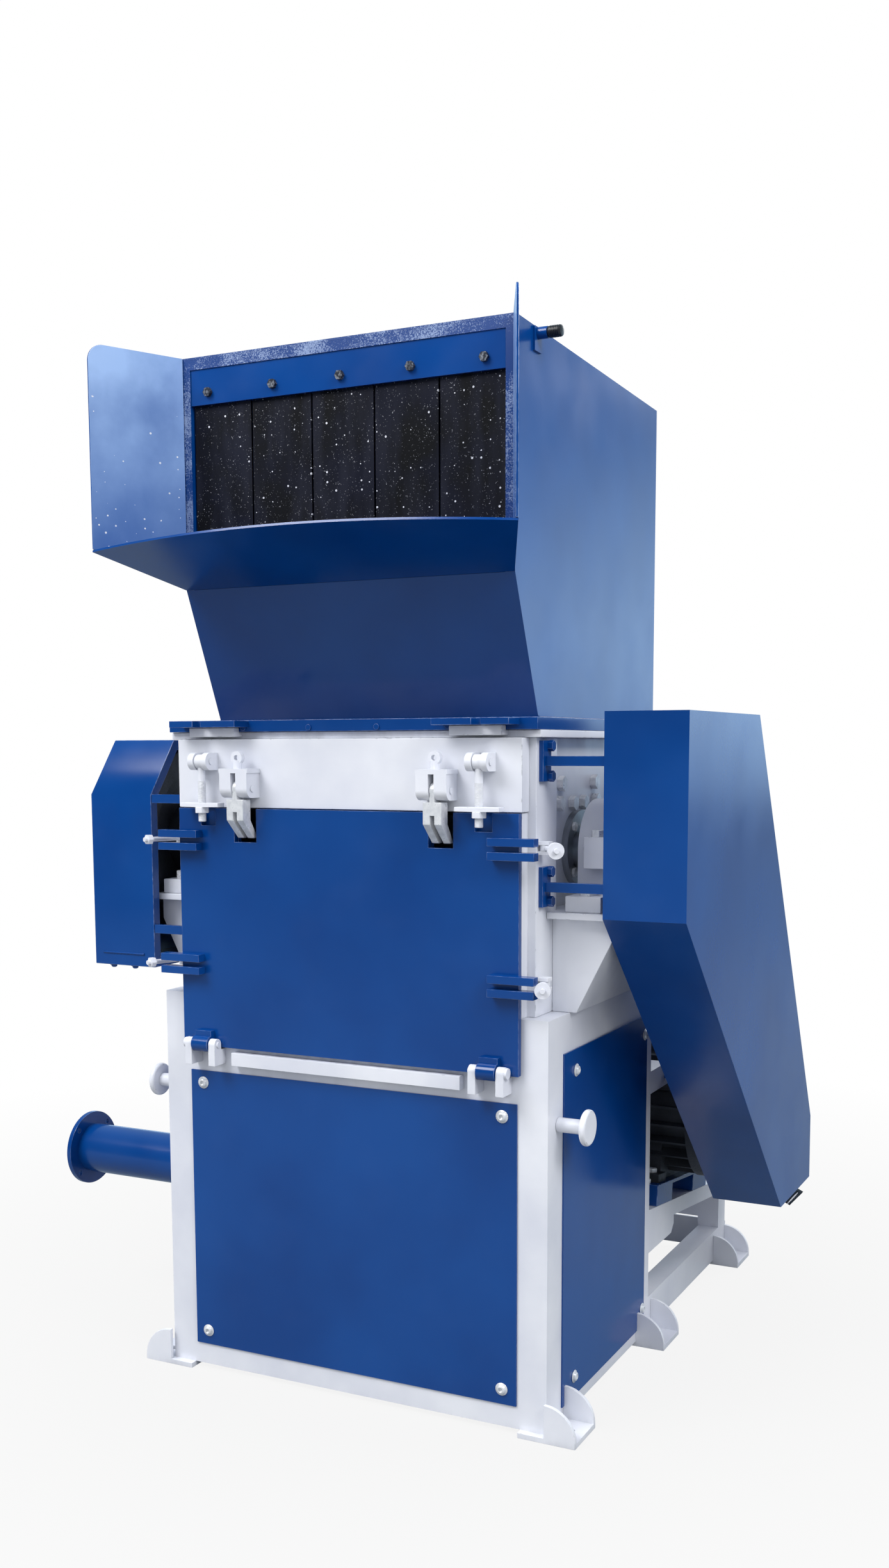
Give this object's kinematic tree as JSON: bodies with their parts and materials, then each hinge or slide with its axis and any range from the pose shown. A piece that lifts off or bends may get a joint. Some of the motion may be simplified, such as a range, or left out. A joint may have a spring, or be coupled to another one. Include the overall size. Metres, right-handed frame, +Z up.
{
  "type": "plastic granulator",
  "caption": "Floor-standing granulator: tilting feed hopper with rubber curtain over a knife rotor chamber, bottom-hinged screen door, belt guard, welded base and side suction outlet",
  "frame": {"origin": "on the floor, at the middle of the four corner anchor holes", "axes": "+Z up, +X to the right of someone who faces the door, the door looks along -Y"},
  "size_m": [1.443, 1.3328, 1.923],
  "materials": {
    "blue_enamel": "glossy enamel",
    "white_enamel": "glossy enamel",
    "zinc_fasteners": "zinc plated",
    "machined_steel": "machined",
    "dark_castings": "dark paint",
    "black_rubber": "matte",
    "black_plastic": "satin"
  },
  "bodies": {
    "machine": {"base_frame": "white_enamel", "foot_pads": "white_enamel", "front_panel": "blue_enamel", "bay_panels": "blue_enamel", "panel_screws": "zinc_fasteners", "lifting_pegs": "white_enamel", "suction_box": "machined_steel", "outlet_pipe": "blue_enamel", "motor_rails": "white_enamel", "motor_slide_base": "blue_enamel", "motor_frame": "dark_castings", "motor_fan_cover": "dark_castings", "v_belts": "black_rubber", "motor_bolts": "zinc_fasteners", "chamber_side_right": "white_enamel", "chamber_side_left": "white_enamel", "chamber_rear_wall": "white_enamel", "crossmember": "white_enamel", "top_plate": "white_enamel", "bed_knives": "machined_steel", "screen": "machined_steel", "screen_cradle": "machined_steel", "chamber_bolts": "zinc_fasteners", "bearing_brackets": "white_enamel", "bearing_housings": "white_enamel", "shaft_seals": "machined_steel", "door_seat": "blue_enamel", "door_hinge": "white_enamel", "clamp_lugs": "white_enamel", "hopper_hinge": "white_enamel", "belt_guard": "blue_enamel", "flywheel_guard": "blue_enamel", "guard_arms": "blue_enamel"},
    "rotor": {"rotor_shaft": "machined_steel", "rotor_body": "dark_castings", "rotor_knives": "zinc_fasteners", "flywheel": "dark_castings", "rotor_pulley": "dark_castings"},
    "motor_rotor": {"motor_shaft": "machined_steel", "motor_pulley": "dark_castings"},
    "door": {"front_door": "blue_enamel"},
    "hopper": {"hopper_shell": "blue_enamel", "hopper_flange": "blue_enamel", "feed_tray": "blue_enamel", "feed_wings": "blue_enamel", "curtain_retainer": "blue_enamel"},
    "hold_down_left": {"hold_down_left": "white_enamel"},
    "hold_down_right": {"hold_down_right": "white_enamel"},
    "hook_clamp_left": {"hook_clamp_left": "zinc_fasteners"},
    "hook_clamp_right": {"hook_clamp_right": "zinc_fasteners"},
    "side_bolt_left_upper": {"side_bolt_left_upper": "white_enamel"},
    "side_bolt_left_lower": {"side_bolt_left_lower": "white_enamel"},
    "side_bolt_right_upper": {"side_bolt_right_upper": "white_enamel"},
    "side_bolt_right_lower": {"side_bolt_right_lower": "white_enamel"},
    "latch_knob": {"latch_knob": "black_plastic"},
    "curtain_strip_1": {"curtain_strip_1": "black_rubber"},
    "curtain_strip_2": {"curtain_strip_2": "black_rubber"},
    "curtain_strip_3": {"curtain_strip_3": "black_rubber"},
    "curtain_strip_4": {"curtain_strip_4": "black_rubber"},
    "curtain_strip_5": {"curtain_strip_5": "black_rubber"}
  },
  "joints": [
    {"name": "rotor_spin", "type": "hinge", "parent": "machine", "child": "rotor", "pos_m": [0, -0.295, 1.03], "axis": [1, 0, 0], "continuous": true},
    {"name": "motor_spin", "type": "hinge", "parent": "machine", "child": "motor_rotor", "pos_m": [0, 0.24879, 0.43822], "axis": [1, 0, 0], "continuous": true},
    {"name": "door_swing", "type": "hinge", "parent": "machine", "child": "door", "pos_m": [0, -0.581, 0.658], "axis": [1, 0, 0], "range_deg": [0, 95]},
    {"name": "hopper_tilt", "type": "hinge", "parent": "machine", "child": "hopper", "pos_m": [0, 0.022, 1.224], "axis": [-1, 0, 0], "range_deg": [0, 60]},
    {"name": "hold_down_left_swing", "type": "hinge", "parent": "machine", "child": "hold_down_left", "pos_m": [-0.284, -0.587, 1.191], "axis": [-1, 0, 0], "range_deg": [0, 180]},
    {"name": "hook_clamp_left_swing", "type": "hinge", "parent": "machine", "child": "hook_clamp_left", "pos_m": [-0.202, -0.589, 1.142], "axis": [-1, 0, 0], "range_deg": [0, 50]},
    {"name": "hold_down_right_swing", "type": "hinge", "parent": "machine", "child": "hold_down_right", "pos_m": [0.284, -0.587, 1.191], "axis": [-1, 0, 0], "range_deg": [0, 180]},
    {"name": "hook_clamp_right_swing", "type": "hinge", "parent": "machine", "child": "hook_clamp_right", "pos_m": [0.202, -0.589, 1.142], "axis": [-1, 0, 0], "range_deg": [0, 50]},
    {"name": "side_bolt_left_upper_swing", "type": "hinge", "parent": "machine", "child": "side_bolt_left_upper", "pos_m": [-0.378, -0.519, 1.044], "axis": [0, 0, -1], "range_deg": [-20, 55]},
    {"name": "side_bolt_left_lower_swing", "type": "hinge", "parent": "machine", "child": "side_bolt_left_lower", "pos_m": [-0.378, -0.519, 0.809], "axis": [0, 0, -1], "range_deg": [-20, 55]},
    {"name": "side_bolt_right_upper_swing", "type": "hinge", "parent": "machine", "child": "side_bolt_right_upper", "pos_m": [0.378, -0.519, 1.044], "axis": [0, 0, 1], "range_deg": [-35, 55]},
    {"name": "side_bolt_right_lower_swing", "type": "hinge", "parent": "machine", "child": "side_bolt_right_lower", "pos_m": [0.378, -0.519, 0.809], "axis": [0, 0, 1], "range_deg": [-20, 70]},
    {"name": "curtain_strip_1_swing", "type": "hinge", "parent": "hopper", "child": "curtain_strip_1", "pos_m": [-0.252, -0.537, 1.838], "axis": [1, 0, 0], "range_deg": [0, 60]},
    {"name": "curtain_strip_2_swing", "type": "hinge", "parent": "hopper", "child": "curtain_strip_2", "pos_m": [-0.126, -0.537, 1.838], "axis": [1, 0, 0], "range_deg": [0, 60]},
    {"name": "curtain_strip_3_swing", "type": "hinge", "parent": "hopper", "child": "curtain_strip_3", "pos_m": [0, -0.537, 1.838], "axis": [1, 0, 0], "range_deg": [0, 60]},
    {"name": "curtain_strip_4_swing", "type": "hinge", "parent": "hopper", "child": "curtain_strip_4", "pos_m": [0.126, -0.537, 1.838], "axis": [1, 0, 0], "range_deg": [0, 60]},
    {"name": "curtain_strip_5_swing", "type": "hinge", "parent": "hopper", "child": "curtain_strip_5", "pos_m": [0.252, -0.537, 1.838], "axis": [1, 0, 0], "range_deg": [0, 60]},
    {"name": "latch_knob_pull", "type": "slide", "parent": "hopper", "child": "latch_knob", "axis": [1, 0, 0], "range_m": [0, 0.012]}
  ],
  "couplings": [
    {"joint": "motor_spin", "follows": "rotor_spin", "ratio": 2.375}
  ]
}
